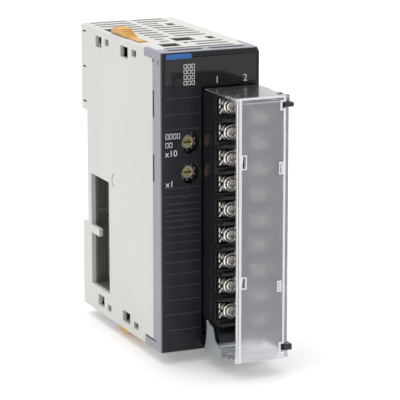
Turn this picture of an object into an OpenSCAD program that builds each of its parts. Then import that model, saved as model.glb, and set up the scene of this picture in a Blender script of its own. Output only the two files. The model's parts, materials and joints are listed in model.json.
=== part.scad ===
// Analog input/output module for a rail-mounted controller, in millimetres.
// Drawn with x from the left side, y from the front panel to the back and z from the bottom,
// then moved so that the origin is the centre of the seat against the rail.

/* [Body] */
// Width of the case from side to side
body_w = 31; // [31:0.5:40]
// Height of the case
body_h = 90; // [90:0.5:96]
// Depth of the case from the front panel to the back
body_d = 65; // [65:0.5:75]
// Thickness of the case walls
wall = 1.5; // [1.2:0.1:1.8]
// Depth of the grey front frame
frame_d = 7; // [6.5:0.25:8]
// Thickness of the glossy front panel
panel_t = 1.1; // [0.8:0.1:1.3]

/* [Rail] */
// Height of the recess for the 35 mm rail
rail_gap = 36; // [35.6:0.1:37]
// Depth of the recess for the rail
rail_depth = 4; // [3:0.25:5]
// Travel of the rail pin
rail_pin_travel = 3; // [1:0.5:3]

/* [Grille] */
// Distance between the ventilation slots
slot_pitch = 4.2; // [3.6:0.1:5]
// Width of one ventilation slot
slot_w = 2; // [1:0.1:2.6]

/* [Dials] */
// Distance from the left side to the middle of the dials
dial_x = 9.3; // [8.5:0.1:9.3]
// Radius of the round wells around the dials
well_r = 3.1; // [2.6:0.1:3.1]
// Radius of the turning part of a dial
dial_r = 1.55; // [1:0.05:1.6]

/* [Terminals] */
// Number of terminals in one column
rows = 9; // [4:1:9]
// Distance between two terminals of a column
row_pitch = 7.62; // [7:0.01:7.62]
// Radius of a terminal screw's head
head_r = 2.4; // [2.2:0.1:2.6]

/* [Cover] */
// Reach of the terminal cover in front of the panel
cover_reach = 24; // [22:0.5:28]
// Thickness of the terminal cover
cover_t = 1.2; // [1:0.1:1.4]

/* [Sliders] */
// Height of the locking sliders above the case
slider_rise = 2.2; // [1.6:0.1:2.7]
// Travel of the locking sliders
slider_travel = 6; // [3:0.5:6]

/* [Hidden] */
$fn = 48;

mid_z = body_h / 2;                 // height of the rail's middle
seat_y = body_d - rail_depth;       // depth of the seat against the rail
floor_y = seat_y - 0.3;             // floor of the recess, behind the raised seat
inner_w = body_w - wall;            // inner face of the right wall
inner_top = body_h - wall;          // inner face of the top wall
fit = 0.05;                         // radial clearance of a running fit
gap = 0.3;                          // clearance between pieces that move apart

tab_d = 13.5;                       // back end of the frame's corner tabs
tab_h = 2.4;                        // height of the frame's corner tabs
tab_gap = 0.5;                      // gap above the lower corner tabs
frame_slits = [[3.8, 14.6], [17, 28]];   // slits in the frame's top wall
bay_x = 12.7;                       // left side of the terminal bay
bay_right = inner_w + 0.2;          // right side of the terminal bay
bay_low = 1.6;                      // bottom of the bay's window
bay_top = body_h - 10.7;            // top of the bay's window
bay_floor = 9.6;                    // depth of the bay's floor
lens_low = bay_top + 1;             // bottom of the indicator lens
lens_top = body_h - 1.6;            // top of the indicator lens
led_x = 5.8;                        // middle of the indicator lights
led_top = lens_top - 2.6;           // height of the top indicator light
led_pitch = 1.63;                   // distance between the indicator lights

dial_z = [62.9, 53.9];              // heights of the tens and the units dial
well_d = 3.3;                       // depth of the wells
boss_r = 2.95;                      // radius of the flat ring around a dial
switch_back = 12;                   // back of the switches, on the front board

block_x = 12.9;                     // left face of the terminal block
block_right = body_w - 0.2;         // right face of the terminal block
block_low = 5;                      // bottom of the terminal block
block_top = bay_top - 0.8;          // top of the terminal block
block_front = -8.2;                 // face that the terminals sit on
block_back = 5.2;                   // back of the terminal block, in the bay
rib_front = -12.6;                  // front edge of the barriers
columns = [17.1, 26.9];             // middle of the two columns of terminals
wall_x = 22;                        // wall between the columns
first_row = block_top - 3.2;        // height of the top terminal of the left column
stagger = row_pitch / 2;            // how much lower the right column is
sleeve_x = [18.6, 23.6];            // the two rows of plug contacts
sleeve_top = block_top - 7.1;       // height of the top plug contact
sleeve_pitch = 6;                   // distance between plug contacts

dip_x = [19.2, 23.1];               // middle of the two levers of the input switch
dip_z = 12.7;                       // and their height

lever_y = -5.6;                     // pivot of the lock lever
lever_z = 3.1;
lever_pin_r = 0.8;                  // radius of its axle

cover_front = -cover_reach;
cover_x = 13;                       // free edge of the cover
hinge_x = body_w - 1.7;             // axis of the cover's hinge
hinge_y = cover_front + 1.5;
hinge_pin_r = 0.75;
cover_low = 2;
cover_top = block_top + gap + 0.95;
arm_x = 27.5;                       // left side of the block's two arms
arm_low = [4.4, 6.2];               // heights of the block's lower arm
arm_high = [block_top - 2.1, block_top - 0.8];

slider_y = [30, 26];                // front ends of the top and the bottom slider's knobs
knob_l = 12.5;                      // length of a slider's knob
knob_x = [1.1, 4.8];                // sides of a slider's knob
bus_y = [42.6, 57.7];               // opening for the bus connector
bus_z = [8, 43.5];
bus_towers = [[11, 21.4], [23, 29.6], [31.8, 40.5]];   // heights of the three groups of contacts
plug_reach = 4.8;                   // reach of the bus plug out of the right wall
board_low = 3;                      // bottom of the circuit boards
board_top = body_h - 3.5;           // top of the circuit boards
board_t = 1.6;
board_x = 3.2;                      // left face of the bus board

// Moves everything to the seat against the rail.
module seated() {
  translate([-body_w / 2, -seat_y, -mid_z]) children();
}

// A block between two corners, given as one range along each axis.
module span(x, y, z) {
  translate([x[0], y[0], z[0]]) cube([x[1] - x[0], y[1] - y[0], z[1] - z[0]]);
}

// An outline in y and z, made solid from x[0] to x[1].
module side_slab(x) {
  translate([x[0], 0, 0]) rotate([90, 0, 90]) linear_extrude(x[1] - x[0]) children();
}

// A round bar along x, y or z.
module bar_x(x, y, z, r) {
  translate([x[0], y, z]) rotate([0, 90, 0]) cylinder(r = r, h = x[1] - x[0]);
}
module bar_y(x, y, z, r) {
  translate([x, y[0], z]) rotate([-90, 0, 0]) cylinder(r = r, h = y[1] - y[0]);
}
module bar_z(x, y, z, r) {
  translate([x, y, z[0]]) cylinder(r = r, h = z[1] - z[0]);
}

// Rest height of each terminal of a column.
function row_z(column, row) = first_row - row * row_pitch - column * stagger;
function sleeve_z(row) = sleeve_top - row * sleeve_pitch;

// ---- Case ----

// Outline of a side wall: behind the front frame, with the recess for the rail.
module side_outline() {
  difference() {
    translate([frame_d, 0]) square([body_d - frame_d, body_h]);
    translate([floor_y, mid_z - rail_gap / 2]) square([body_d, rail_gap]);
    translate([frame_d - 1, body_h - tab_h]) square([tab_d - frame_d + 1, tab_h + 1]);
    translate([frame_d - 1, -1]) square([tab_d - frame_d + 1, tab_h + 1 + tab_gap]);
  }
}

// Ventilation windows near the top and the bottom of a side wall.
module side_windows() {
  top_sizes = [[47.9, 4.9, 3.4], [42, 3, 2], [26.4, 5.9, 3.4], [19.8, 3.6, 2]];
  for (w = top_sizes) {
    translate([w[0], body_h - 2.2 - w[2]]) square([w[1], w[2]]);
    translate([w[0] - 0.6, 2.3]) square([w[1], w[2]]);
  }
}

// One cross slot of the ventilation grille, from x[0] to x[1], counted from the front.
module grille_slot(number, x, width = slot_w) {
  y = frame_d + 1.6 + number * slot_pitch;
  translate([x[0], y - width / 2, -wall]) cube([x[1] - x[0], width, 3 * wall]);
}

// The grille's slots and holes: plain rows at the back, shorter rows beside the slider.
module grille(with_holes) {
  left_end = body_w / 2 - 0.8;
  right = [body_w / 2 + 1, body_w - 4.2];
  grille_slot(0, [4.4, body_w - 4.2]);
  for (n = [1 : 13]) {
    if (!with_holes || (n != 3 && n != 4 && n != 10 && n != 11)) grille_slot(n, right);
    if (n > 4) grille_slot(n, [n > 10 ? 2.4 : 8.4, left_end]);
  }
  if (with_holes) {
    for (n = [3, 4]) grille_slot(n, [8.4, 11.4]);
    for (n = [10, 11]) grille_slot(n, [right[0], 21.8]);
    for (hole = [[5.6, 11.4, 6, 5.6], [13.2, 20.2, 6.6, 5.8], [24.2, 20.8, 2.6, 4.6],
                 [23.3, 49.8, 2.8, 4], [13.8, 15.4, 1.9, 2.2]])
      translate([hole[0], hole[1], -wall]) cube([hole[2], hole[3], 3 * wall]);
  } else {
    for (n = [1 : 4]) grille_slot(n, [8.4, left_end]);
  }
}

// Sunk track, guide slit and hidden foot space of a slider; z points out of the case.
module slider_track(front) {
  span([1.6, 5], [front - 8.5, front + knob_l + 8], [-1, 1]);
  span([2.3, 4.3], [front + 2.7, front + knob_l + slider_travel + 0.3], [-3, 1]);
}

module case_body() {
  color("#dad8d0") seated() {
    difference() {
      side_slab([inner_w, body_w]) side_outline();
      side_slab([inner_w - 1, body_w + 1]) side_windows();
      span([inner_w - 1, body_w + 1], [bus_y[0] + 0.9, bus_y[1] - 1.2], [bus_z[0] + 1, bus_z[1] - 1]);
    }
    difference() {
      span([wall, inner_w], [frame_d, body_d], [inner_top, body_h]);
      translate([0, 0, body_h - wall]) grille(true);
      translate([0, 0, body_h]) slider_track(slider_y[0]);
    }
    difference() {
      span([wall, inner_w], [frame_d, body_d], [0, wall]);
      grille(false);
      mirror([0, 0, 1]) slider_track(slider_y[1]);
      span([12.2, 18.8], [62.9, body_d + 1], [-1, wall + 1]);
    }
  }
}

module side_cover() {
  color("#dad8d0") seated() {
    difference() {
      side_slab([0, wall]) side_outline();
      side_slab([-1, wall + 1]) side_windows();
      span([-1, wall + 1], bus_y, bus_z);
      // Curved catch groove and the three slits of the rear pocket.
      translate([-1, 38.1, 45]) rotate([0, 90, 0]) intersection() {
        difference() {
          cylinder(r = 2.1, h = 1.4);
          translate([0, 0, -1]) cylinder(r = 1.3, h = 4);
        }
        translate([-3, 0, -1]) cube([6, 3, 4]);
      }
      for (z = [body_h - 2.3, body_h - 13.4, body_h - 24.4])
        span([-1, 0.5], [body_d - 4.2, body_d + 1], [z, z + 0.5]);
    }
    // Locating hook in the bus opening.
    span([0, 1.4], [bus_y[1] - 6.6, bus_y[1]], [24.4, 27]);
    // Snap tabs that hold this cover to the top and the bottom wall.
    for (y = [16, 54.4], z = [4.1, inner_top - 4.1])
      span([wall, 2.5], [y - 2.2, y + 2.2], [z - 0.9, z + 0.9]);
  }
}

module rear_cover() {
  low = mid_z - rail_gap / 2;
  high = mid_z + rail_gap / 2;
  color("#d6d4cc") seated() {
    difference() {
      union() {
        span([wall, inner_w], [floor_y - wall, floor_y], [low - wall, high + wall]);
        span([4, body_w - 4], [floor_y, seat_y], [mid_z - 15, mid_z + 15]);
        span([wall, inner_w], [floor_y - wall, body_d], [high, high + wall]);
        span([wall, inner_w], [floor_y - wall, body_d], [low - wall, low]);
        span([wall, inner_w], [body_d - wall, body_d], [high, inner_top]);
        span([wall, inner_w], [body_d - wall, body_d], [wall, low]);
        // Fixed hook over the rail's upper edge.
        span([6, body_w - 6], [seat_y + 1.3, body_d - 0.4], [high - 1.7, high]);
        // Channel of the rail pin.
        span([10, 21], [floor_y - 0.5, seat_y + 0.6], [wall, low - wall]);
        for (x = [10, 20.3]) span([x, x + 0.7], [seat_y, body_d - wall], [wall, low - wall]);
      }
      span([12.2, 18.8], [seat_y + 1, body_d + 1], [-1, low + 1]);
      for (n = [0 : 3]) for (x = [4, 17.2])
        span([x, x + 9.8], [body_d - wall - 1, body_d + 1], [high + 5.2 + n * slot_pitch, high + 6.8 + n * slot_pitch]);
    }
  }
}

module front_frame() {
  color("#a2a0ac") seated() {
    difference() {
      union() {
        difference() {
          span([0, body_w], [panel_t, frame_d], [0, body_h]);
          span([wall, inner_w], [0, frame_d + 1], [wall, inner_top]);
        }
        for (x = [[0, wall], [inner_w, body_w]]) {
          span(x, [frame_d, tab_d], [body_h - tab_h, body_h]);
          span(x, [frame_d, tab_d], [0, tab_h]);
        }
      }
      // Two slits behind the panel's top edge.
      for (x = frame_slits) span(x, [3.4, 5.6], [inner_top - 1, body_h + 1]);
      // Snap slots and corner gaps at the joint with the case.
      for (x = [-1, inner_w - 0.1]) {
        for (z = [[70.3, 78.2], [51, 59.1]]) span([x, x + wall + 1.1], [frame_d - 1.1, frame_d + 1], z);
        span([x, x + wall + 1.1], [frame_d - 0.9, frame_d + 0.1], [body_h - 3.4, body_h - tab_h]);
        span([x, x + wall + 1.1], [frame_d - 1.9, frame_d + 0.1], [tab_h, tab_h + tab_gap]);
      }
      for (x = [-1, body_w - 0.3]) span([x, x + 1.3], [2.4, 3.4], [body_h - 3.8, body_h - 2.4]);
    }
  }
}

// ---- Front panel, indicators and dials ----

// Distance of the fine ribs from the middle of the panel, growing outwards.
function rib_step(k) = 1.4 * k + 0.16 * k * k;

module front_panel() {
  rib_mid = 41.9;
  corner_r = 1.5;
  color("#26262a") seated() {
    difference() {
      union() {
        difference() {
          span([0, body_w], [0, panel_t], [0.4, body_h]);
          span([body_w - corner_r, body_w + 1], [-1, panel_t + 1], [body_h - corner_r, body_h + 1]);
        }
        bar_y(body_w - corner_r, [0, panel_t], body_h - corner_r, corner_r);
        // Walls of the dials' wells.
        for (z = dial_z) intersection() {
          bar_y(dial_x, [panel_t, well_d], z, well_r + 0.4);
          span([0, bay_x - 0.8], [0, well_d], [0, body_h]);
        }
        // Fine ribs, left out around the dials.
        for (k = [-11 : 11]) {
          z = rib_mid + sign(k) * rib_step(abs(k));
          if (z < 50.3 || z > 67)
            span([0.8, bay_x - 0.7], [-0.18, 0.1], [z - 0.14, z + 0.14]);
        }
      }
      for (z = dial_z) bar_y(dial_x, [-1, well_d + 1], z, well_r);
      span([bay_x, bay_right], [-1, panel_t + 1], [bay_low, bay_top]);
      span([1, body_w - 1], [-1, panel_t + 1], [lens_low, lens_top]);
    }
  }
}

module indicator_lens() {
  color("#4a484c") seated() {
    span([1, body_w - 1], [0, panel_t], [lens_low, lens_top]);
    span([2, body_w - 2], [panel_t, panel_t + 0.6], [lens_low - 0.5, lens_top + 0.1]);
    // Snap tabs that stand in the two slits of the frame's top.
    for (x = frame_slits) {
      span([x[0] + 0.2, x[1] - 0.2], [panel_t + 0.5, 5.4], [inner_top - 1.2, inner_top - 0.2]);
      span([x[0] + 0.2, x[1] - 0.2], [4.7, 5.4], [inner_top - 1.2, body_h - 0.1]);
    }
  }
}

module light_guide() {
  color("#e6ecee") seated() {
    for (n = [0 : 3]) {
      z = led_top - n * led_pitch;
      span([led_x - 0.7, led_x + 0.7], [panel_t + 0.7, 11], [z - 0.55, z + 0.55]);
    }
    span([led_x + 0.7, led_x + 1.7], [4, 9], [lens_top - 8.6, lens_top - 1.4]);
  }
}

module indicator_leds() {
  color("#e8e4c8") seated() for (n = [0 : 3]) {
    z = led_top - n * led_pitch;
    span([led_x - 0.8, led_x + 0.8], [11.1, switch_back], [z - 0.6, z + 0.6]);
  }
}

module front_board() {
  color("#1f6b45") seated() {
    span([2.7, 13.5], [switch_back, switch_back + board_t], [48, 80.5]);
    span([2.7, 22], [switch_back, switch_back + board_t], [80.5, board_top]);
  }
}

module front_connector() {
  color("#d8d4c8") seated() span([18, 24], [switch_back + board_t, 17.6], [81, 86]);
}

// Housing of a rotary switch, with the bore that its dial turns in.
module switch_body(z) {
  difference() {
    union() {
      span([6.2, bay_x - 0.9], [well_d + 0.6, switch_back], [z - 3, z + 3]);
      bar_y(dial_x, [well_d, well_d + 0.6], z, boss_r);
    }
    bar_y(dial_x, [well_d - 1, well_d + 2.2], z, dial_r + fit);
  }
}

// Turning part of a rotary switch, with a screwdriver slot.
module dial(z) {
  difference() {
    bar_y(dial_x, [well_d - 0.3, well_d + 2.1], z, dial_r);
    span([dial_x - 2, dial_x + 2], [well_d - 1, well_d + 0.5], [z - 0.25, z + 0.25]);
  }
}

module tens_switch_body() { color("#2c2b29") seated() switch_body(dial_z[0]); }
module units_switch_body() { color("#2c2b29") seated() switch_body(dial_z[1]); }
module tens_dial() { color("#a08c46") seated() dial(dial_z[0]); }
module units_dial() { color("#a08c46") seated() dial(dial_z[1]); }

// ---- Boards and bus connectors ----

module bus_board() {
  color("#1f6b45") seated() difference() {
    span([board_x, board_x + board_t], [38, 58.8], [board_low, board_top]);
    span([board_x - 1, board_x + 3], [bus_y[0] - 1.3, 60], [bus_z[0] - 1.3, bus_z[1] + 1.3]);
  }
}

// Deep socket of the bus, right behind the opening in the side cover.
module bus_socket() {
  mouth = wall + 0.1;
  base = 10;
  y = (bus_y[0] + bus_y[1]) / 2;
  color("#46463e") seated() difference() {
    union() {
      difference() {
        span([mouth, base + 1], [bus_y[0] - 1, bus_y[1] + 1], [bus_z[0] - 1, bus_z[1] + 1]);
        span([0, base], bus_y, bus_z);
      }
      // Lug on the board, pads and guide ribs on the rear inner face.
      span([board_x + board_t, board_x + board_t + 1.2], [bus_y[0] - 2.4, bus_y[0] - 1], [12, 40]);
      for (z = [[bus_z[0], 17.1], [19.4, 26.7]]) span([mouth, base], [bus_y[1] - 0.25, bus_y[1]], z);
      span([mouth, base], [bus_y[1] - 0.6, bus_y[1]], [30.9, 32.3]);
      for (n = [0 : 7]) span([mouth + 0.5 + n, mouth + 0.8 + n], [bus_y[1] - 0.4, bus_y[1]], bus_z);
      // Towers around the contacts.
      for (z = bus_towers) span([plug_reach - 1, base], [y - 3, y + 3], [z[0] - 0.8, z[1] + 0.8]);
    }
    for (z = bus_towers) span([0, base - 1], [y - 2.4, y + 2.4], z);
  }
}

module bus_socket_contacts() {
  y = (bus_y[0] + bus_y[1]) / 2;
  color("#c9a64b") seated() for (n = [0 : 4], side = [-2.3, 2])
    span([plug_reach, 9], [y + side, y + side + 0.3], [12 + n * 1.7, 12.8 + n * 1.7]);
}

module main_board() {
  color("#1f6b45") seated() span([24, 24 + board_t], [15.7, 58.8], [board_low, board_top]);
}

// Plug of the bus: enters the socket of the module to the right.
module bus_plug() {
  x = 24 + board_t;
  y = (bus_y[0] + bus_y[1]) / 2;
  color("#3c3c38") seated() {
    span([x, inner_w], [y - 5.2, y + 5.2], [bus_z[0] + 2, bus_z[1] - 2]);
    for (z = bus_towers) span([inner_w, body_w + plug_reach], [y - 1.9, y + 1.9], [z[0] + 0.4, z[1] - 0.4]);
  }
}

module bus_plug_contacts() {
  y = (bus_y[0] + bus_y[1]) / 2;
  color("#c9a64b") seated() for (n = [0 : 4], side = [-1, 1])
    translate([0, y + side * 2.05, 0])
      span([inner_w + 0.1, body_w + plug_reach - 0.6], [-0.15, 0.15], [12 + n * 1.7, 12.8 + n * 1.7]);
}

module board_connector() {
  color("#2b2b2b") seated() {
    span([board_x + board_t, 14], [45, 49], [50, 76]);
    span([14, 24], [45.4, 48.6], [50.4, 75.6]);
  }
}

module main_chips() {
  color("#232326") seated() {
    span([21.6, 24], [20, 34], [24, 38]);
    span([22.4, 24], [22, 28], [42, 52]);
    span([22.4, 24], [32, 38], [42, 52]);
    span([22.4, 24], [34, 42], [80, 86]);
    for (n = [0 : 3]) span([4.8, 6.6], [39.6, 44.2], [52 + n * 8, 57 + n * 8]);
  }
}

module converter_module() {
  color("#3a3d42") seated() span([14.5, 24], [20, 40], [6, 20]);
}

module capacitors() {
  color("#36454f") seated() for (n = [0 : 2])
    bar_x([15, 24], 22 + n * 5.6, 57 + n * 6.5, 2.5);
}

// ---- Terminal bay ----

module terminal_bay() {
  left = bay_x - 0.8;
  color("#1f1f22") seated() {
    difference() {
      union() {
        span([left, inner_w], [bay_floor, bay_floor + 1.2], [bay_low, bay_top]);
        span([left, bay_x], [panel_t, bay_floor], [bay_low, bay_top]);
        span([left, inner_w], [panel_t + 0.7, bay_floor], [bay_top - 0.1, bay_top + 0.3]);
        span([left, inner_w], [panel_t, bay_floor], [bay_low, bay_low + 1.2]);
        // Lugs that carry the lock lever.
        for (x = [13.5, 27.6]) {
          span([x, x + 1.7], [lever_y, bay_floor], [lever_z - 1.4, lever_z + 1.4]);
          bar_x([x, x + 1.7], lever_y, lever_z, 1.4);
        }
      }
      for (z = dial_z) bar_y(dial_x, [0, well_d + 0.65], z, well_r + 0.02);
      span([15.6, 26.8], [bay_floor - 1, bay_floor + 2], [20, block_top - 4.1]);
      span([16.5, 25.8], [bay_floor - 1, bay_floor + 2], [8.4, 17]);
      bar_x([10, body_w], lever_y, lever_z, lever_pin_r + fit);
    }
  }
}

module terminal_header() {
  color("#2e2e30") seated() difference() {
    span([15.6, 26.8], [2.6, 12.6], [20, block_top - 4.1]);
    for (x = sleeve_x, n = [0 : rows - 1])
      span([x - 0.4, x + 0.4], [2, 13], [sleeve_z(n) - 0.4, sleeve_z(n) + 0.4]);
  }
}

module header_pins() {
  color("#d3b45a") seated() for (x = sleeve_x, n = [0 : rows - 1])
    span([x - 0.4, x + 0.4], [-3.4, 15.6], [sleeve_z(n) - 0.4, sleeve_z(n) + 0.4]);
}

module dip_switch_body() {
  color("#8c2f2a") seated() difference() {
    span([16.5, 25.8], [7, 13], [8.4, 17]);
    for (x = dip_x) span([x - 0.75, x + 0.75], [6, 8.6], [dip_z - 1.8, dip_z + 1.8]);
  }
}

// Small lever of the input switch, at the lower end of its slot.
module dip_lever(x) {
  span([x - 0.6, x + 0.6], [6.2, 8.4], [dip_z - 1.55, dip_z - 0.05]);
}

module dip_lever_1() { color("#f2f0ea") seated() dip_lever(dip_x[0]); }
module dip_lever_2() { color("#f2f0ea") seated() dip_lever(dip_x[1]); }

// ---- Locking sliders and rail pin ----

// Slider with its knob above the case (z = 0 is the case's outer face).
module slider(front) {
  back = front + knob_l;
  slope = 6.6;
  function high(y) = gap + (slider_rise - gap) * y / slope;
  // Knob with a long front slope and a short flat top.
  side_slab(knob_x)
    polygon([[front, gap], [front + slope, slider_rise], [back - 2.4, slider_rise], [back - 0.5, gap + 1], [back, gap]]);
  // Grip ridges across the slope.
  side_slab([knob_x[0] + 0.5, knob_x[1]]) for (n = [0 : 4])
    translate([front + 0.7 + n * 1.15, high(0.7 + n * 1.15)])
      polygon([[-0.3, -0.3], [-0.1, 0.22], [0.2, 0.26], [0.5, 0.05]]);
  span([1.8, 4.4], [front - 8.1, back + 1.4], [gap - 1, gap]);
  span([2.6, 4], [front + 3, front + 12.3], [-2.3, gap - 1]);
  span([1.8, 4.8], [front + 3, front + 12.3], [-2.5, -1.9]);
}

module top_slider() {
  color("#dea03c") seated() translate([0, 0, body_h]) slider(slider_y[0]);
}

module bottom_slider() {
  color("#dea03c") seated() mirror([0, 0, 1]) slider(slider_y[1]);
}

// Pin that hooks the rail's lower edge and is pulled down to release it.
module din_pin() {
  low = mid_z - rail_gap / 2;
  color("#c9c8c2") seated() difference() {
    union() {
      span([11, 20], [seat_y + 0.9, body_d - wall - gap], [wall + rail_pin_travel + gap, low - 2.5]);
      span([12.5, 18.5], [body_d - wall - gap, body_d - 0.2], [0.4, low - 2.5]);
      span([12.5, 18.5], [seat_y + 1.3, body_d - 0.2], [low - 2.5, low + 2]);
    }
    span([13.9, 17.1], [body_d - 1.4, body_d + 1], [2, 5.4]);
  }
}

// ---- Lock lever and terminal block ----

module lock_lever() {
  wing = [12, 12.6];
  color("#868c88") seated() {
    // Left wing beside the block, with a curved front edge.
    side_slab(wing) polygon([[-2.9, 0.3], [-14.6, 1.4], [-15.2, 3.6], [-13.4, 4.5], [-11.8, 4.9],
                             [-10.4, 5.4], [-9.9, 6.2], [-9.4, 7.8], [-8.7, 9], [-7.5, 9.5],
                             [-6.3, 9.5], [-5.4, 10.1], [-4.8, 10.5], [-5.2, 9], [-4.9, 6.8],
                             [-4.4, 3.9], [-3.6, 2]]);
    // Axle through both lugs of the bay.
    bar_x([wing[0] + 0.2, 29.9], lever_y, lever_z, lever_pin_r);
    // Finger tab with grip ridges.
    side_slab([wing[0], 17.6])
      polygon([[-12.7, 1.3], [-14.9, 1.3], [-15.2, 3.1], [-14.2, 4.1], [-12.7, 4.1]]);
    for (n = [0 : 6]) span([12.3 + n * 0.6, 12.6 + n * 0.6], [-15.35, -14.6], [1.7, 3]);
  }
}

// Cross-section of the block in front of the panel, seen from above.
module block_outline() {
  polygon([[block_x, -0.3], [block_x, -5], [block_x + 0.6, -6.6], [block_x + 0.6, block_front],
           [block_right - 0.4, block_front], [block_right, block_front + 0.6], [block_right, -0.3]]);
}

// Hinge arm that carries the cover, with a bore for the cover's pin.
module hinge_arm(z) {
  difference() {
    translate([0, 0, z[0]]) linear_extrude(z[1] - z[0])
      polygon([[arm_x, block_front], [arm_x, hinge_y], [28.4, cover_front],
               [block_right, cover_front], [block_right, block_front]]);
    bar_z(hinge_x, hinge_y, [z[0] - 1, z[1] + 1], hinge_pin_r + fit);
  }
}

module terminal_block() {
  low_z = row_z(1, rows - 1) - stagger;
  color("#1b1b1e") seated() {
    difference() {
      union() {
        translate([0, 0, block_low]) linear_extrude(block_top - block_low) block_outline();
        span([bay_x + 0.6, inner_w - 0.3], [-0.3, block_back], [block_low + 0.5, block_top - 0.5]);
        // Stepped barriers between the terminals, and the wall between the columns.
        for (c = [0, 1], n = [c == 0 ? 1 : 0 : rows])
          translate([columns[c], 0, row_z(c, n) + stagger]) {
            side = c == 0 ? [block_x + 0.6, wall_x] : [wall_x, block_right - 0.4];
            ends = [side[0] - columns[c], side[1] - columns[c]];
            span(ends, [rib_front, block_front], [-0.5, 0.5]);
            span(ends, [block_front - 1.7, block_front], [-1.1, 1.1]);
          }
        span([block_x + 0.6, wall_x], [rib_front, block_front], [block_top - 0.6, block_top]);
        span([wall_x - 0.35, wall_x + 0.35], [rib_front, block_front], [low_z, block_top]);
        // Sloping foot below the left column.
        side_slab([block_x + 0.6, wall_x])
          polygon([[block_front, low_z + 3.4], [block_front - 3.6, block_low], [block_front, block_low]]);
      }
      // Room for the lock lever at the lower left.
      span([block_x - 1, block_x + 0.6], [-20, block_back + 1], [block_low - 1, 11]);
      // Room for the header and the input switch.
      span([15, 27.4], [1.8, block_back + 1], [19.4, block_top - 3.5]);
      for (x = sleeve_x, n = [0 : rows - 1])
        span([x - 1, x + 1], [-4.4, 2], [sleeve_z(n) - 1, sleeve_z(n) + 1]);
      // Screw holes behind the terminals.
      for (c = [0, 1], n = [0 : rows - 1])
        bar_y(columns[c], [block_front - 1, block_front + 3.4], row_z(c, n), 1.6);
    }
    hinge_arm(arm_low);
    hinge_arm(arm_high);
    // Side wall between the two arms.
    span([columns[1] + 3.5, block_right], [-18.5, block_front + 0.5], [arm_low[0], arm_high[1]]);
    // Small stud on the upper arm, in the notch of the cover's flange.
    span([28, block_right], [-20.3, -18.7], [arm_high[1] - 0.1, cover_top - 0.5]);
  }
}

// Contacts in the back of the block that the header's pins enter.
module contact_sleeves() {
  color("#c9a64b") seated() for (x = sleeve_x, n = [0 : rows - 1]) difference() {
    span([x - 1, x + 1], [-4.4, 1.6], [sleeve_z(n) - 1, sleeve_z(n) + 1]);
    span([x - 0.65, x + 0.65], [-5, 2], [sleeve_z(n) - 0.65, sleeve_z(n) + 0.65]);
  }
}

// Places its children at every terminal.
module at_terminals() {
  for (c = [0, 1], n = [0 : rows - 1])
    translate([columns[c], block_front, row_z(c, n)]) children();
}

module terminal_plates() {
  color("#d8d4c4") seated() at_terminals() difference() {
    span([-2.9, 2.9], [-0.8, 0], [-2.6, 2.6]);
    bar_y(0, [-2, 1], 0, 1.55);
  }
}

// A straight ridge from a to b, as an outline in x and z.
module stroke(a, b) {
  turn = atan2(b[1] - a[1], b[0] - a[0]);
  translate(a) rotate(turn) translate([0, -0.21]) square([norm(b - a), 0.42]);
}

// Raised marks that grip the wire on both sides of a clamp plate.
module clamp_ridges() {
  for (side = [0, 1]) mirror([side, 0, 0]) {
    translate([-3.4, 0.8]) square([0.45, 1.55]);
    translate([-3.4, -0.6]) square([0.45, 1.1]);
    stroke([-1.35, 2.2], [-2.2, 1.5]);
    stroke([-2, 1.75], [-2.6, 0.5]);
    stroke([-2.35, -0.6], [-3.15, -2.2]);
    stroke([-2.5, -0.7], [-1.6, -2.2]);
  }
}

module clamp_plates() {
  color("#e2dfd2") seated() at_terminals() difference() {
    union() {
      span([-3.4, 3.4], [-1.4, -0.8], [-2.4, 2.4]);
      translate([0, -1.3, 0]) rotate([90, 0, 0]) linear_extrude(0.55) clamp_ridges();
    }
    bar_y(0, [-3, 1], 0, 1.55);
  }
}

// Screw with a captive washer: a wide collar, a raised middle and a cross recess.
module terminal_screws() {
  color("#e8e6dc") seated() at_terminals() difference() {
    union() {
      translate([0, -3.9, 0]) rotate([-90, 0, 0]) cylinder(r1 = 1.45, r2 = 1.7, h = 0.25);
      bar_y(0, [-3.65, -3.2], 0, 1.7);
      translate([0, -3.3, 0]) rotate([-90, 0, 0]) cylinder(r1 = head_r - 0.25, r2 = head_r, h = 0.25);
      bar_y(0, [-3.05, -1.9], 0, head_r);
      bar_y(0, [-1.9, -1.4], 0, 2);
      bar_y(0, [-1.4, 3.2], 0, 1.5);
    }
    span([-1.25, 1.25], [-5, -2.8], [-0.35, 0.35]);
    span([-0.35, 0.35], [-5, -2.8], [-1.25, 1.25]);
  }
}

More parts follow.
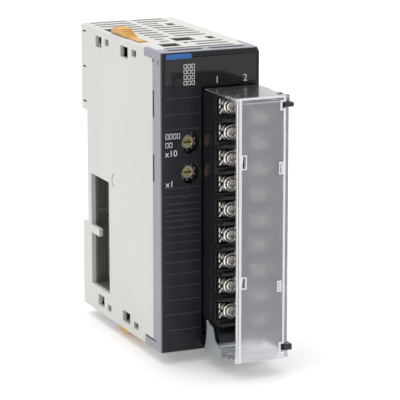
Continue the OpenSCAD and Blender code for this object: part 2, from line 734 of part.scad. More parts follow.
module terminal_cover() {
  front = cover_front + 0.3;
  back = front + cover_t;
  right = hinge_x + 0.6;
  // Slots that hold a label card: x, z, width and height.
  slots = [[14.8, 59.5, 1, 3.6], [14.8, 24.4, 1, 3], [26.6, 57.3, 0.8, 3], [26.2, 22.6, 0.7, 2.6]];
  notches = [[arm_low[0] - gap, arm_low[1] + gap], [arm_high[0] - gap, arm_high[1] + gap]];
  color("#a6a8b2") seated() difference() {
    union() {
      translate([0, 0, cover_low]) linear_extrude(cover_top - cover_low)
        polygon([[cover_x + 0.9, back], [cover_x, front + 0.6], [cover_x, front], [28.2, front],
                 [right, front + 1.2], [right, back + 0.6], [28, back]]);
      // Lip and bead at the free edge, bead beside the hinge and beads below the top edge.
      for (x = [[cover_x, cover_x + 0.35], [cover_x + 0.7, cover_x + 1.5], [27.7, 28.2]])
        span(x, [cover_front, front + 0.2], [cover_low, cover_top]);
      span([cover_x, 28.2], [cover_front, front + 0.2], [cover_top - 0.5, cover_top]);
      span([cover_x + 1.5, 28.2], [front - 0.1, front + 0.2], [cover_top - 1.75, cover_top - 1.4]);
      // Raised rims around the slots and the notches for the arms.
      for (s = slots)
        span([s[0] - 0.35, s[0] + s[2] + 0.35], [cover_front, front + 0.2], [s[1] - 0.35, s[1] + s[3] + 0.35]);
      for (z = notches) span([26.5, 28.2], [cover_front, front + 0.2], [z[0] - 0.6, z[1] + 0.6]);
      // Deeper corner at the top of the free edge.
      span([cover_x, cover_x + 0.8], [front, back + 0.3], [cover_top - 1.8, cover_top]);
      // Flanges at the top and the bottom, with the hinge pins.
      side_slab([cover_x, body_w - 1])
        polygon([[front + 0.8, block_top + gap], [-1.2, block_top + gap], [-1.2, cover_top - 0.6],
                 [front + 0.8, cover_top]]);
      span([cover_x, body_w - 1], [front + 0.8, -16.5], [cover_low, cover_low + 1.2]);
      bar_z(hinge_x, hinge_y, [arm_high[0] + 0.1, cover_top - 1], hinge_pin_r);
      bar_z(hinge_x, hinge_y, [cover_low + 1, arm_low[1] - 0.1], hinge_pin_r);
    }
    // Room for the block's arms around the pins.
    for (z = notches)
      difference() {
        span([arm_x - gap, body_w + 2], [cover_front - 1, back + 2], z);
        bar_z(hinge_x, hinge_y, [z[0] - 1, z[1] + 1], hinge_pin_r);
      }
    // Notch beside the upper arm.
    span([27.8, body_w], [-20.6, -18.4], [block_top, cover_top + 1]);
    for (s = slots) span([s[0], s[0] + s[2]], [cover_front - 1, back + 1], [s[1], s[1] + s[3]]);
  }
}

case_body();
side_cover();
rear_cover();
front_frame();
front_panel();
indicator_lens();
light_guide();
indicator_leds();
front_board();
front_connector();
tens_switch_body();
units_switch_body();
tens_dial();
units_dial();
bus_board();
bus_socket();
bus_socket_contacts();
main_board();
bus_plug();
bus_plug_contacts();
board_connector();
main_chips();
converter_module();
capacitors();
terminal_bay();
terminal_header();
header_pins();
dip_switch_body();
dip_lever_1();
dip_lever_2();
top_slider();
bottom_slider();
din_pin();
lock_lever();
terminal_block();
contact_sleeves();
terminal_plates();
clamp_plates();
terminal_screws();
terminal_cover();
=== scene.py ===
"""Looks for the rail-mounted input/output module: rounded skins, materials, printed marks, light."""
import json
import math

import bmesh
import bpy
from mathutils import Matrix, Vector
from mathutils.bvhtree import BVHTree


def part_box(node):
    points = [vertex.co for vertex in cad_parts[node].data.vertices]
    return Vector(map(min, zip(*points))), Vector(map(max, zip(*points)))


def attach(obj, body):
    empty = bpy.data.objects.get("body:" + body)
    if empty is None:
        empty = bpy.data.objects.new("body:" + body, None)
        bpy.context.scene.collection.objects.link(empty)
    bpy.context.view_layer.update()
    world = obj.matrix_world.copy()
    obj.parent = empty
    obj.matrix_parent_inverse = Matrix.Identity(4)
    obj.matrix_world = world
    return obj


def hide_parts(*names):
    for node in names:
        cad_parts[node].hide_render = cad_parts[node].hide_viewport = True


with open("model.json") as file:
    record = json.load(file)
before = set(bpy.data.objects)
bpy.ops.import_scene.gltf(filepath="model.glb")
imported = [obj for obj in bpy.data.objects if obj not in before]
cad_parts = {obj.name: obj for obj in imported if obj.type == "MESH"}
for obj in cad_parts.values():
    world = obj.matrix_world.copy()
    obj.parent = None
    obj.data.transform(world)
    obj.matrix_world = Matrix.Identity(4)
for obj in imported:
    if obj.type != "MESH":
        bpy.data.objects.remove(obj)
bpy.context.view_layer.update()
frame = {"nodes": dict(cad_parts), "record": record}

MM = 0.001
NODES = frame["nodes"]
BODY_OF = {node: body for body, members in frame["record"]["behaviour"]["bodies"].items()
           for node in members}
SLOT_OF = {row["node"]: row["material_slot"] for row in frame["record"]["subparts"]}

# The corner that every place is measured from: left side, front panel, case bottom.
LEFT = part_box("side_cover")[0].x
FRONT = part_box("indicator_lens")[0].y
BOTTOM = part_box("case_body")[0].z


def at(x, y, z):
    """A point given in millimetres from the left side, the front panel and the case bottom."""
    return Vector((LEFT + x * MM, FRONT + y * MM, BOTTOM + z * MM))


def depth_of(y):
    """The y of a CAD face as millimetres behind the front panel."""
    return (y - FRONT) / MM


# Faces of the CAD model, in millimetres as at() takes them.
CASE_RIGHT = (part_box("case_body")[1].x - LEFT) / MM
CASE_TOP = (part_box("case_body")[1].z - BOTTOM) / MM
CASE_FRONT = depth_of(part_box("side_cover")[0].y)
COVER_FRONT = depth_of(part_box("terminal_cover")[0].y)
BLOCK_FACE = depth_of(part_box("terminal_plates")[1].y)
MIDDLE = at(15.5, 30, 45)


# ---- Nodes that the materials are built from ----

def new_material(name):
    """A node material: returns it, its node tree and its Principled shader."""
    material = bpy.data.materials.new(name)
    material.use_nodes = True
    tree = material.node_tree
    return material, tree, tree.nodes["Principled BSDF"]


def noise(tree, scale, detail=3.0, stretch=(1, 1, 1)):
    """A noise texture in object space, so that its grain has a real size in metres."""
    where = tree.nodes.new("ShaderNodeTexCoord")
    mapping = tree.nodes.new("ShaderNodeMapping")
    mapping.inputs["Scale"].default_value = stretch
    texture = tree.nodes.new("ShaderNodeTexNoise")
    texture.inputs["Scale"].default_value = scale
    texture.inputs["Detail"].default_value = detail
    tree.links.new(where.outputs["Object"], mapping.inputs["Vector"])
    tree.links.new(mapping.outputs["Vector"], texture.inputs["Vector"])
    return texture.outputs["Fac"]


# The range that holds nearly all values of a noise texture.
NOISE_LOW, NOISE_HIGH = 0.3, 0.7


def ramp(tree, value, low, high):
    """Turns a noise value into a colour between low and high."""
    node = tree.nodes.new("ShaderNodeValToRGB")
    node.color_ramp.elements[0].position = NOISE_LOW
    node.color_ramp.elements[1].position = NOISE_HIGH
    node.color_ramp.elements[0].color = (*low, 1)
    node.color_ramp.elements[1].color = (*high, 1)
    tree.links.new(value, node.inputs["Fac"])
    return node.outputs["Color"]


def spread(tree, value, low, high):
    """Turns a noise value into a number between low and high."""
    node = tree.nodes.new("ShaderNodeMapRange")
    node.inputs["From Min"].default_value = NOISE_LOW
    node.inputs["From Max"].default_value = NOISE_HIGH
    node.inputs["To Min"].default_value = low
    node.inputs["To Max"].default_value = high
    tree.links.new(value, node.inputs["Value"])
    return node.outputs["Result"]


def bump(tree, shader, height, depth_mm):
    """Adds a fine relief of the given depth to a shader."""
    node = tree.nodes.new("ShaderNodeBump")
    node.inputs["Strength"].default_value = 1.0
    node.inputs["Distance"].default_value = depth_mm * MM
    tree.links.new(height, node.inputs["Height"])
    tree.links.new(node.outputs["Normal"], shader.inputs["Normal"])


def blend(tree, how, first, second):
    """Mixes two colours in full by the given blend type."""
    node = tree.nodes.new("ShaderNodeMix")
    node.data_type = "RGBA"
    node.blend_type = how
    node.inputs["Factor"].default_value = 1.0
    tree.links.new(first, node.inputs["A"])
    tree.links.new(second, node.inputs["B"])
    return node.outputs["Result"]


def along(tree, axis, stops):
    """A colour that follows one axis of the module; each stop is (mm as at() takes it, colour)."""
    where = tree.nodes.new("ShaderNodeTexCoord")
    axes = tree.nodes.new("ShaderNodeSeparateXYZ")
    place = tree.nodes.new("ShaderNodeMapRange")
    node = tree.nodes.new("ShaderNodeValToRGB")
    first, last = stops[0][0], stops[-1][0]
    origin = {"X": LEFT, "Y": FRONT, "Z": BOTTOM}[axis]
    place.inputs["From Min"].default_value = origin + first * MM
    place.inputs["From Max"].default_value = origin + last * MM
    elements = node.color_ramp.elements
    elements[0].color = (*stops[0][1], 1)
    elements[1].color = (*stops[-1][1], 1)
    for distance, color in stops[1:-1]:
        elements.new((distance - first) / (last - first)).color = (*color, 1)
    tree.links.new(where.outputs["Object"], axes.inputs["Vector"])
    tree.links.new(axes.outputs[axis], place.inputs["Value"])
    tree.links.new(place.outputs["Result"], node.inputs["Fac"])
    return node.outputs["Color"]


def grey(value):
    return (value, value, value)


def tint(color, factor):
    return tuple(min(1.0, c * factor) for c in color)


# ---- Painted light and shade: colours that multiply a plastic's own colour by place ----

EVERYWHERE = (-10, 100)
# Colour of the painted shade in the case's hollow and seam.
UNLIT = (0.24, 0.20, 0.17)


def dim_within(tree, box, dim, soft):
    """White, but dim inside a box of three (low, high) ranges in mm, with soft sides: a mask of painted
    shade.
    """
    white = grey(1.0)
    shade = None
    for axis, (low, high) in zip("XYZ", box):
        side = along(tree, axis, [(low, white), (low + soft, dim), (high - soft, dim), (high, white)])
        shade = blend(tree, "LIGHTEN", shade, side) if shade else side
    return shade


def dark_inside(tree):
    """Painted shade: dims the unlit hollow of the case, the seam behind the front frame and the rear
    slits, where little light reaches.
    """
    wall, skin_depth = 1.45, 0.15
    hollow = dim_within(tree, ((wall, CASE_RIGHT - wall), EVERYWHERE,
                               (skin_depth, CASE_TOP - skin_depth)), UNLIT, 0.2)
    seam = dim_within(tree, (EVERYWHERE, (CASE_FRONT - 1, CASE_FRONT + 0.15), EVERYWHERE), UNLIT, 0.1)
    slit_depth, slit_length, slit_rows = (0.04, 0.62), (60.7, 64.96), (65, 88.5)
    slits = dim_within(tree, (slit_depth, slit_length, slit_rows), grey(0.12), 0.06)
    return blend(tree, "MULTIPLY", blend(tree, "MULTIPLY", hollow, seam), slits)


def dark_slits(tree):
    """Painted shade: dims the walls of the two slits in the frame's top, where little light reaches."""
    both_slits, slit_width, slit_depth = (2.2, 29.2), (3.2, 5.8), (CASE_TOP - 3.6, CASE_TOP - 0.04)
    return dim_within(tree, (both_slits, slit_width, slit_depth), grey(0.16), 0.08)


def pale_ribs(tree):
    """Painted highlight: dims the panel behind its raised ribs, so that the ribs stand out lighter as if
    they caught the light.
    """
    ribs, panel = grey(1.0), grey(0.3)
    return along(tree, "Y", [(-0.2, ribs), (-0.08, ribs), (-0.03, panel), (4.0, panel)])


# ---- Materials ----

def plastic(name, color, rough=(0.38, 0.5), grain=2600, depth=0.012, mottle=0.03, gloss=0.5, shade=None):
    """Moulded plastic: spark-eroded grain, faint flow mottling, uneven gloss; shade, if given, multiplies
    its colour by place as painted light and shade.
    """
    material, tree, shader = new_material(name)
    flow = noise(tree, 45, 4.0, (1, 1, 0.5))
    fine = noise(tree, grain, 2.0)
    mixed = ramp(tree, flow, tint(color, 1 - mottle), tint(color, 1 + mottle))
    if shade:
        mixed = blend(tree, "MULTIPLY", mixed, shade(tree))
    tree.links.new(mixed, shader.inputs["Base Color"])
    tree.links.new(spread(tree, fine, *rough), shader.inputs["Roughness"])
    shader.inputs["Specular IOR Level"].default_value = gloss
    bump(tree, shader, fine, depth)
    return material


def metal(name, color, rough=(0.16, 0.32)):
    """Plated or turned metal with fine scratches and patches of duller gloss."""
    material, tree, shader = new_material(name)
    patch = noise(tree, 350, 4.0)
    fine = noise(tree, 900, 3.0)
    tree.links.new(ramp(tree, patch, tint(color, 0.86), tint(color, 1.06)), shader.inputs["Base Color"])
    tree.links.new(spread(tree, fine, *rough), shader.inputs["Roughness"])
    shader.inputs["Metallic"].default_value = 1.0
    bump(tree, shader, fine, 0.01)
    return material


def frosted(name, color, clear, rough):
    """Translucent moulded plastic: part diffuse, part blurred see-through."""
    material, tree, shader = new_material(name)
    cloud = noise(tree, 60, 3.0)
    fine = noise(tree, 2200, 2.0)
    tree.links.new(ramp(tree, cloud, tint(color, 0.97), tint(color, 1.03)), shader.inputs["Base Color"])
    tree.links.new(spread(tree, fine, rough - 0.05, rough + 0.05), shader.inputs["Roughness"])
    shader.inputs["Transmission Weight"].default_value = clear
    shader.inputs["IOR"].default_value = 1.46
    bump(tree, shader, fine, 0.01)
    return material


def cover_material(name):
    """Clear moulded plastic: beads made whitish as a painted highlight of the light their edges refract,
    a frosted front plate and glossy flanges behind it.
    """
    material, tree, shader = new_material(name)
    face, beads, plate_start, plate_end, flange_start, flange_end = (
        COVER_FRONT + depth for depth in (0, 0.1, 0.25, 1.5, 1.9, 23.0))

    def zones(at_beads, at_plate, at_flange):
        return along(tree, "Y", [(face, at_beads), (beads, at_beads),
                                 (plate_start, at_plate), (plate_end, at_plate),
                                 (flange_start, at_flange), (flange_end, at_flange)])

    cloud = ramp(tree, noise(tree, 70, 3.0), grey(0.93), grey(1.0))
    # Painted highlight: the beads are whitish and barely clear, standing in for the light their edges
    # refract.
    color = zones((0.95, 0.95, 0.97), (0.91, 0.92, 0.97), (0.93, 0.94, 0.96))
    tree.links.new(blend(tree, "MULTIPLY", color, cloud), shader.inputs["Base Color"])
    tree.links.new(zones(grey(0.35), grey(0.24), grey(0.07)), shader.inputs["Roughness"])

    # Painted light: the plate is made hazier and whiter towards its foot, standing in for the bright
    # floor seen through it; the flanges behind it are not.
    clear = zones(grey(0.15), grey(0.84), grey(0.97))
    foot = along(tree, "Z", [(2.0, grey(0.42)), (4.0, grey(0.50)), (6.5, grey(0.88)),
                             (12.0, grey(0.96)), (30.0, grey(1.0)), (90.0, grey(1.0))])
    behind = along(tree, "Y", [(face, grey(0.0)), (face + 1.0, grey(0.0)),
                               (face + 1.6, grey(1.0)), (flange_end, grey(1.0))])
    painted_light_haze = blend(tree, "LIGHTEN", foot, behind)
    tree.links.new(blend(tree, "MULTIPLY", clear, painted_light_haze), shader.inputs["Transmission Weight"])
    shader.inputs["IOR"].default_value = 1.56
    bump(tree, shader, noise(tree, 2600, 2.0), 0.01)
    return material


def terminal_metal(name):
    """Nickel plate with painted shade in the sunk faces and painted highlights on the ridges and the
    screws' bevels, standing in for the dark and bright reflections they show.
    """
    material, tree, shader = new_material(name)
    # Painted highlight and shade: bright where ridges and bevels catch the light, dark in the sunk faces
    # and collars where shade falls.
    bright, dark, head = (0.98, 0.96, 0.90), (0.10, 0.09, 0.08), (0.46, 0.42, 0.36)
    # Heights above the face that the plates lie on, from the screws' raised middles down:
    # middle, its bevel, its foot, the collar's bevel, the collar, the plates' ridges, the plates.
    heights = [(4.0, head), (3.85, head), (3.77, bright), (3.6, bright), (3.5, dark), (3.3, dark),
               (3.24, bright), (3.0, bright), (2.8, head), (2.0, head), (1.9, bright), (1.7, bright),
               (1.55, dark), (-0.2, dark)]
    zones = along(tree, "Y", [(BLOCK_FACE - height, color) for height, color in heights])
    patch = ramp(tree, noise(tree, 350, 4.0), grey(0.88), grey(1.0))
    tree.links.new(blend(tree, "MULTIPLY", zones, patch), shader.inputs["Base Color"])
    fine = noise(tree, 900, 3.0)
    tree.links.new(spread(tree, fine, 0.16, 0.34), shader.inputs["Roughness"])
    shader.inputs["Metallic"].default_value = 1.0
    bump(tree, shader, fine, 0.01)
    return material


def board_green(name):
    """Solder-masked circuit board: masked traces as a raised, slightly lighter pattern."""
    material, tree, shader = new_material(name)
    where = tree.nodes.new("ShaderNodeTexCoord")
    brick = tree.nodes.new("ShaderNodeTexBrick")
    brick.inputs["Scale"].default_value = 420
    brick.inputs["Mortar Size"].default_value = 0.035
    brick.inputs["Color1"].default_value = (0.012, 0.115, 0.058, 1)
    brick.inputs["Color2"].default_value = (0.014, 0.135, 0.066, 1)
    brick.inputs["Mortar"].default_value = (0.03, 0.22, 0.11, 1)
    swizzle = tree.nodes.new("ShaderNodeMapping")
    swizzle.inputs["Rotation"].default_value = (0, math.radians(90), 0)
    tree.links.new(where.outputs["Object"], swizzle.inputs["Vector"])
    tree.links.new(swizzle.outputs["Vector"], brick.inputs["Vector"])
    tree.links.new(brick.outputs["Color"], shader.inputs["Base Color"])
    tree.links.new(spread(tree, noise(tree, 500), 0.25, 0.4), shader.inputs["Roughness"])
    bump(tree, shader, brick.outputs["Fac"], 0.03)
    return material


CASE_BEIGE = (0.592, 0.590, 0.562)
MATERIALS = {
    "case_plastic": plastic("case_beige", CASE_BEIGE, shade=dark_inside),
    "frame_plastic": plastic("frame_grey", (0.270, 0.268, 0.320), shade=dark_slits),
    "panel_plastic": plastic("panel_black", (0.053, 0.058, 0.071), rough=(0.16, 0.24), grain=900,
                             depth=0.0012, mottle=0.1, gloss=0.22, shade=pale_ribs),
    "lens_plastic": plastic("lens_smoked", (0.020, 0.019, 0.021), rough=(0.04, 0.07), grain=700,
                            depth=0.001, mottle=0.1, gloss=0.35),
    "clear_plastic": frosted("guide_clear", (0.85, 0.9, 0.92), clear=0.8, rough=0.12),
    "led_resin": frosted("led_resin", (0.85, 0.82, 0.62), clear=0.4, rough=0.25),
    "circuit_board": board_green("board_green"),
    "connector_light": plastic("connector_cream", (0.68, 0.64, 0.54)),
    "switch_plastic": plastic("switch_black", (0.022, 0.021, 0.019), rough=(0.4, 0.55)),
    "brass_metal": metal("dial_brass", (0.66, 0.55, 0.22), rough=(0.28, 0.45)),
    "connector_dark": plastic("connector_olive", (0.130, 0.130, 0.105), rough=(0.42, 0.58)),
    "gold_contact": metal("contact_gold", (0.80, 0.58, 0.20)),
    "chip_resin": plastic("chip_resin", (0.020, 0.020, 0.022), rough=(0.5, 0.65), grain=4000, depth=0.02),
    "capacitor_skin": plastic("capacitor_sleeve", (0.020, 0.035, 0.070), rough=(0.2, 0.3)),
    "bay_plastic": plastic("bay_black", (0.016, 0.016, 0.018), rough=(0.3, 0.42)),
    "dip_plastic": plastic("switch_red", (0.28, 0.030, 0.022), rough=(0.35, 0.5)),
    "white_plastic": plastic("lever_white", (0.85, 0.84, 0.80)),
    "slider_plastic": plastic("slider_amber", (0.60, 0.325, 0.066), rough=(0.34, 0.46), grain=2200,
                              depth=0.01, mottle=0.06),
    "pin_plastic": plastic("pin_grey", (0.60, 0.59, 0.55)),
    "lever_plastic": frosted("lever_grey", (0.390, 0.430, 0.440), clear=0.25, rough=0.35),
    "block_plastic": plastic("block_black", (0.011, 0.011, 0.013), rough=(0.16, 0.26), grain=2400,
                             depth=0.006, mottle=0.08),
    "nickel_metal": terminal_metal("terminal_nickel"),
    "cover_plastic": cover_material("cover_frosted"),
}
# The rear cover has no hollow of its own to darken with painted shade.
OWN_MATERIAL = {"rear_cover": plastic("case_beige_plain", CASE_BEIGE)}
PRINT_WHITE = plastic("print_white", (0.78, 0.78, 0.80), rough=(0.45, 0.6), grain=5000, depth=0.004)
PRINT_BLUE = plastic("print_blue", (0.025, 0.140, 0.45), rough=(0.3, 0.4), grain=5000, depth=0.004)
PRINT_CREAM = plastic("print_cream", (0.92, 0.86, 0.70), rough=(0.4, 0.5), grain=5000, depth=0.004)


# ---- Pieces ----

def finish_piece(piece, body, material):
    """Gives a new piece its material and its normals, and ties it to its body."""
    piece.data.materials.clear()
    piece.data.materials.append(material)
    normals = piece.modifiers.new("normals", "WEIGHTED_NORMAL")
    normals.keep_sharp = True
    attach(piece, body)


def link_mesh(name, bm):
    """Makes a scene object of a bmesh, smooth except at its hard edges."""
    hard_angle = math.radians(38)
    for face in bm.faces:
        face.smooth = True
    for edge in bm.edges:
        if len(edge.link_faces) == 2:
            edge.smooth = edge.calc_face_angle() < hard_angle
    mesh = bpy.data.meshes.new(name)
    bm.to_mesh(mesh)
    bm.free()
    piece = bpy.data.objects.new(name, mesh)
    bpy.context.scene.collection.objects.link(piece)
    return piece


# ---- Rounded skins over the CAD nodes ----

# Width of the rounding of each node's edges, in millimetres.
SKINS = {
    "case_body": 0.12, "side_cover": 0.25, "rear_cover": 0.25, "front_frame": 0.1,
    "front_panel": 0.15, "indicator_lens": 0.12, "top_slider": 0.12, "bottom_slider": 0.12,
    "din_pin": 0.25, "lock_lever": 0.08, "terminal_block": 0.14, "terminal_cover": 0.16,
    "terminal_bay": 0.15, "terminal_header": 0.12, "bus_socket": 0.2, "bus_plug": 0.25,
    "tens_dial": 0.08, "units_dial": 0.08, "tens_switch_body": 0.12, "units_switch_body": 0.12,
    "dip_switch_body": 0.15, "dip_lever_1": 0.15, "dip_lever_2": 0.15,
    "terminal_plates": 0.15, "clamp_plates": 0.12, "terminal_screws": 0.14,
    "main_chips": 0.15, "converter_module": 0.4, "capacitors": 0.4,
    "board_connector": 0.2, "front_connector": 0.2, "indicator_leds": 0.1, "light_guide": 0.12,
}
FLAT_ANGLE = math.radians(1.5)
SHARP_ANGLE = math.radians(25)


def chain_length(edge, sharp):
    """Length of the nearly straight or round run of sharp edges that an edge belongs to."""
    most_edges, least_cosine = 24, 0.82
    total = edge.calc_length()
    for start in edge.verts:
        vert, last = start, edge
        for _ in range(most_edges):
            heading = (vert.co - last.other_vert(vert).co).normalized()
            following = None
            for other in vert.link_edges:
                if other is not last and other in sharp:
                    turn = (other.other_vert(vert).co - vert.co).normalized()
                    if heading.dot(turn) > least_cosine:
                        following = other
            if following is None or following is edge:
                break
            total += following.calc_length()
            vert, last = following.other_vert(vert), following
    return total


def has_room(tree, face, edge, width):
    """True if a face goes on for more than twice the width, all along one of its edges."""
    loop = next(corner for corner in edge.link_loops if corner.face is face)
    a, b = loop.vert.co, loop.link_loop_next.vert.co
    inward = face.normal.cross(b - a).normalized()
    above = 0.02 * MM
    for share in (0.12, 0.5, 0.88):
        start = a.lerp(b, share)
        for step in (1.1, 2.3):
            probe = start + inward * (step * width) + face.normal * above
            hit, normal, _, _ = tree.ray_cast(probe, -face.normal, 2 * above)
            if hit is None or normal.dot(face.normal) < 0.99:
                return False
    return True


def soften(bm, width):
    """Rounds every sharp edge of a bmesh that has room for it."""
    bmesh.ops.remove_doubles(bm, verts=bm.verts, dist=0.002 * MM)
    tree = BVHTree.FromBMesh(bm)
    bmesh.ops.dissolve_limit(bm, angle_limit=FLAT_ANGLE, verts=bm.verts, edges=bm.edges)
    bm.normal_update()
    sharp = set()
    for edge in bm.edges:
        if len(edge.link_faces) == 2 and edge.calc_face_angle() > SHARP_ANGLE:
            sharp.add(edge)
    chosen = []
    for edge in sharp:
        if chain_length(edge, sharp) < 3 * width:
            continue
        if all(has_room(tree, face, edge, width) for face in edge.link_faces):
            chosen.append(edge)
    bmesh.ops.bevel(bm, geom=chosen, offset=width, offset_type="OFFSET", segments=2,
                    profile=0.5, affect="EDGES", clamp_overlap=False,
                    loop_slide=False, miter_outer="SHARP")
    bmesh.ops.remove_doubles(bm, verts=bm.verts, dist=0.001 * MM)


def skin(node, width_mm):
    """Replaces a CAD node with the same shape, its edges rounded as moulded ones are."""
    bm = bmesh.new()
    bm.from_mesh(NODES[node].data)
    soften(bm, width_mm * MM)
    piece = link_mesh(node + ".skin", bm)
    slot = SLOT_OF[node]
    finish_piece(piece, BODY_OF[node], OWN_MATERIAL.get(node, MATERIALS[slot]))
    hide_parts(node)


def make_skins():
    """Gives every node a skin, or only its material where it is too small for one."""
    for node, width_mm in SKINS.items():
        skin(node, width_mm)
    for node, thing in NODES.items():
        if node not in SKINS:
            thing.data.materials.clear()
            thing.data.materials.append(MATERIALS[SLOT_OF[node]])


# ---- Printed marks ----

PRINT_HEIGHT = 0.02      # how far flat print stands out, in millimetres
PANEL_FACE = -0.005      # just clear of the panel, so that no two faces coincide
FONT_CAPITAL = 0.72      # height of a digit in the built-in font, as a share of its size


def flat_piece(name, outlines, thickness, material):
    """Thin printed shapes on the panel: outlines in x and z (mm), raised by thickness."""
    corner = at(0, PANEL_FACE, 0)
    bm = bmesh.new()
    for outline in outlines:
        front = [bm.verts.new(corner + Vector((x * MM, -thickness * MM, z * MM))) for x, z in outline]
        back = [bm.verts.new(corner + Vector((x * MM, 0, z * MM))) for x, z in outline]
        bm.faces.new(front)
        bm.faces.new(list(reversed(back)))
        for i in range(len(outline)):
            j = (i + 1) % len(outline)
            bm.faces.new((front[i], back[i], back[j], front[j]))
    bmesh.ops.recalc_face_normals(bm, faces=bm.faces)
    finish_piece(link_mesh(name, bm), "root", material)


def bar(x, z, width, height, corner):
    """Outline of a small bar with cut corners, centred on x and z."""
    w, h = width / 2, height / 2
    return [(x - w + corner, z - h), (x + w - corner, z - h), (x + w, z - h + corner),
            (x + w, z + h - corner), (x + w - corner, z + h), (x - w + corner, z + h),
            (x - w, z + h - corner), (x - w, z - h + corner)]


def open_box(x, z, width, height):
    """Four bars that frame a small empty box, as a stand-in for a printed letter."""
    line, end_corner, side_corner = 0.16, 0.05, 0.02
    w, h = width / 2, height / 2
    return [bar(x, z + h - line / 2, width, line, end_corner),
            bar(x, z - h + line / 2, width, line, end_corner),
            bar(x - w + line / 2, z, line, height - 2 * line, side_corner),
            bar(x + w - line / 2, z, line, height - 2 * line, side_corner)]


def box_row(x, z, count, pitch, width, height):
    """A row of open boxes, the first one centred on x and z."""
    return [outline for i in range(count) for outline in open_box(x + i * pitch, z, width, height)]


def number(name, text, place, height, material):
    """A generic number in the built-in font, raised a little towards the front."""
    curve = bpy.data.curves.new(name, "FONT")
    curve.body = text
    curve.size = height * MM / FONT_CAPITAL
    curve.align_x = "CENTER"
    curve.align_y = "CENTER"
    curve.extrude = 0.012 * MM
    curve.resolution_u = 3
    holder = bpy.data.objects.new(name + ".text", curve)
    bpy.context.scene.collection.objects.link(holder)
    bpy.context.view_layer.update()
    mesh = bpy.data.meshes.new_from_object(holder.evaluated_get(bpy.context.evaluated_depsgraph_get()))
    bpy.data.objects.remove(holder)
    mesh.transform(Matrix.Rotation(math.radians(90), 4, "X"))
    mesh.transform(Matrix.Translation(place))
    piece = bpy.data.objects.new(name, mesh)
    bpy.context.scene.collection.objects.link(piece)
    finish_piece(piece, "root", material)


def make_marks():
    """The marks on the panel: a bar for the name, boxes for words, and generic numbers."""
    flat_piece("name_bar", [bar(5.4, 88.85, 8.0, 1.5, 0.3)], 0.03, PRINT_BLUE)
    lights = []
    for row in range(4):
        lights += box_row(7.4, 85.8 - row * 1.63, 3, 1.25, 1.0, 1.25)
    flat_piece("indicator_marks", lights, PRINT_HEIGHT, PRINT_WHITE)
    for name, text, x, z, height in (("column_mark_1", "1", 17.5, 81.15, 2.1),
                                     ("column_mark_2", "2", 26.5, 81.2, 2.1),
                                     ("tens_mark", "x10", 2.9, 60.3, 1.9),
                                     ("units_mark", "x1", 2.4, 51.3, 1.9)):
        number(name, text, at(x, -0.02, z), height, PRINT_WHITE)
    words = box_row(1.6, 65.5, 4, 1.2, 0.95, 1.6) + box_row(1.6, 62.95, 2, 1.2, 0.95, 1.5)
    flat_piece("dial_marks", words, PRINT_HEIGHT, PRINT_WHITE)


def ring(name, body, centre, inner, outer, thickness):
    """A flat cream ring facing forwards."""
    steps = 48
    bm = bmesh.new()
    loops = []
    for radius, y in ((inner, 0), (inner, -thickness), (outer, -thickness), (outer, 0)):
        loops.append([bm.verts.new(centre + Vector((
            math.cos(2 * math.pi * i / steps) * radius * MM, y * MM,
            math.sin(2 * math.pi * i / steps) * radius * MM))) for i in range(steps)])
    for k in range(4):
        a, b = loops[k], loops[(k + 1) % 4]
        for i in range(steps):
            j = (i + 1) % steps
            bm.faces.new((a[i], a[j], b[j], b[i]))
    bmesh.ops.recalc_face_normals(bm, faces=bm.faces)
    finish_piece(link_mesh(name, bm), body, PRINT_CREAM)


def make_dial_scales():
    """Bright rim on each dial's face, cream ring and the digits 0 to 9 around it."""
    digit_circle, digit_height, digit_lift = 2.42, 0.8, 0.02
    for which in ("tens", "units"):
        dial = which + "_dial"
        low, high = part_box(dial)
        centre = (low + high) / 2
        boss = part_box(which + "_switch_body")[0].y
        ring(which + "_ring", "root", Vector((centre.x, boss, centre.z)), 1.6, 1.9, 0.05)
        ring(which + "_rim", BODY_OF[dial], Vector((centre.x, low.y, centre.z)), 1.28, 1.5, 0.03)
        for digit in range(10):
            angle = math.radians(90 - 36 * digit)
            place = Vector((centre.x + math.cos(angle) * digit_circle * MM, boss - digit_lift * MM,
                            centre.z + math.sin(angle) * digit_circle * MM))
            number(f"{which}_digit_{digit}", str(digit), place, digit_height, PRINT_CREAM)


# ---- Stage ----

def make_floor():
    """A plain pale floor, just below everything that reaches under the case."""
    half, level = 6.0, BOTTOM - 3.3 * MM
    corners = [(-half, -half, level), (half, -half, level), (half, half, level), (-half, half, level)]
    mesh = bpy.data.meshes.new("floor")
    mesh.from_pydata(corners, [], [(0, 1, 2, 3)])
    floor = bpy.data.objects.new("floor", mesh)
    bpy.context.scene.collection.objects.link(floor)
    material, _, shader = new_material("floor_white")
    shader.inputs["Base Color"].default_value = (0.80, 0.80, 0.80, 1)
    shader.inputs["Roughness"].default_value = 0.6
    shader.inputs["Emission Color"].default_value = (1, 1, 1, 1)
    shader.inputs["Emission Strength"].default_value = 0.2
    floor.data.materials.append(material)


def fade(tree, value, start, end, first, last):
    """A number that goes softly from first to last while the value goes from start to end."""
    node = tree.nodes.new("ShaderNodeMapRange")
    node.interpolation_type = "SMOOTHSTEP"
    for name, setting in (("From Min", start), ("From Max", end), ("To Min", first), ("To Max", last)):
        node.inputs[name].default_value = setting
    tree.links.new(value, node.inputs["Value"])
    return node.outputs["Result"]


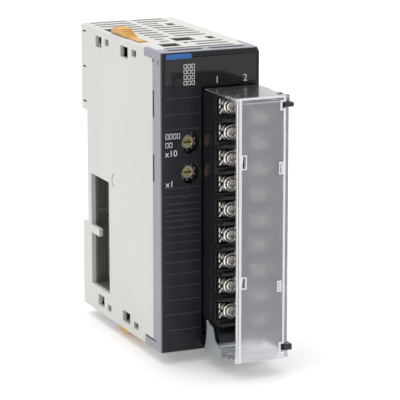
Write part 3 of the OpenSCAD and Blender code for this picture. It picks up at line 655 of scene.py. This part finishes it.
def make_room():
    """White room that is darker in front, as seen by glossy faces."""
    world = bpy.data.worlds.new("studio")
    bpy.context.scene.world = world
    world.use_nodes = True
    tree = world.node_tree
    where = tree.nodes.new("ShaderNodeTexCoord")
    axes = tree.nodes.new("ShaderNodeSeparateXYZ")
    tree.links.new(where.outputs["Generated"], axes.inputs["Vector"])
    both = tree.nodes.new("ShaderNodeMath")
    both.operation = "MULTIPLY"
    tree.links.new(fade(tree, axes.outputs["Y"], -0.05, -0.75, 0, 1), both.inputs[0])
    tree.links.new(fade(tree, axes.outputs["Z"], 0.25, 0.6, 1, 0), both.inputs[1])
    colors = tree.nodes.new("ShaderNodeValToRGB")
    colors.color_ramp.elements[0].color = (1, 1, 1, 1)
    colors.color_ramp.elements[1].color = (0.22, 0.22, 0.24, 1)
    tree.links.new(both.outputs["Value"], colors.inputs["Fac"])
    tree.links.new(colors.outputs["Color"], tree.nodes["Background"].inputs["Color"])
    tree.nodes["Background"].inputs["Strength"].default_value = 1.0
    bpy.context.scene.view_settings.view_transform = "Standard"


def make_lamps():
    """Two large soft lights that point at the module's middle: one above it, one at its left."""
    for name, offset, size, energy in (("top_light", (-0.1, 0.05, 1.1), 0.9, 5.4),
                                       ("left_light", (-0.9, -0.55, 0.4), 0.5, 0.75)):
        light = bpy.data.lights.new(name, "AREA")
        light.size = size
        light.energy = energy
        lamp = bpy.data.objects.new(name, light)
        lamp.location = MIDDLE + Vector(offset)
        lamp.rotation_euler = (-Vector(offset)).to_track_quat("-Z", "Y").to_euler()
        bpy.context.scene.collection.objects.link(lamp)


def make_camera():
    """Camera at the photo's angle: from the front left and a little above, far off with a long lens."""
    azimuth, elevation = math.radians(-23.65), math.radians(12.83)
    distance, shift_right, shift_down = 0.72468, 0.008877, 0.005622
    back = Vector((math.sin(azimuth) * math.cos(elevation), -math.cos(azimuth) * math.cos(elevation),
                   math.sin(elevation)))
    right = Vector((math.cos(azimuth), math.sin(azimuth), 0))
    up = back.cross(right)
    data = bpy.data.cameras.new("camera")
    data.sensor_width = 36
    data.lens = 213.5
    camera = bpy.data.objects.new("camera", data)
    place = MIDDLE + back * distance + right * shift_right - up * shift_down
    camera.matrix_world = Matrix.Translation(place) @ Matrix((right, up, back)).transposed().to_4x4()
    bpy.context.scene.collection.objects.link(camera)
    bpy.context.scene.camera = camera


make_skins()
make_marks()
make_dial_scales()
make_floor()
make_room()
make_lamps()
make_camera()
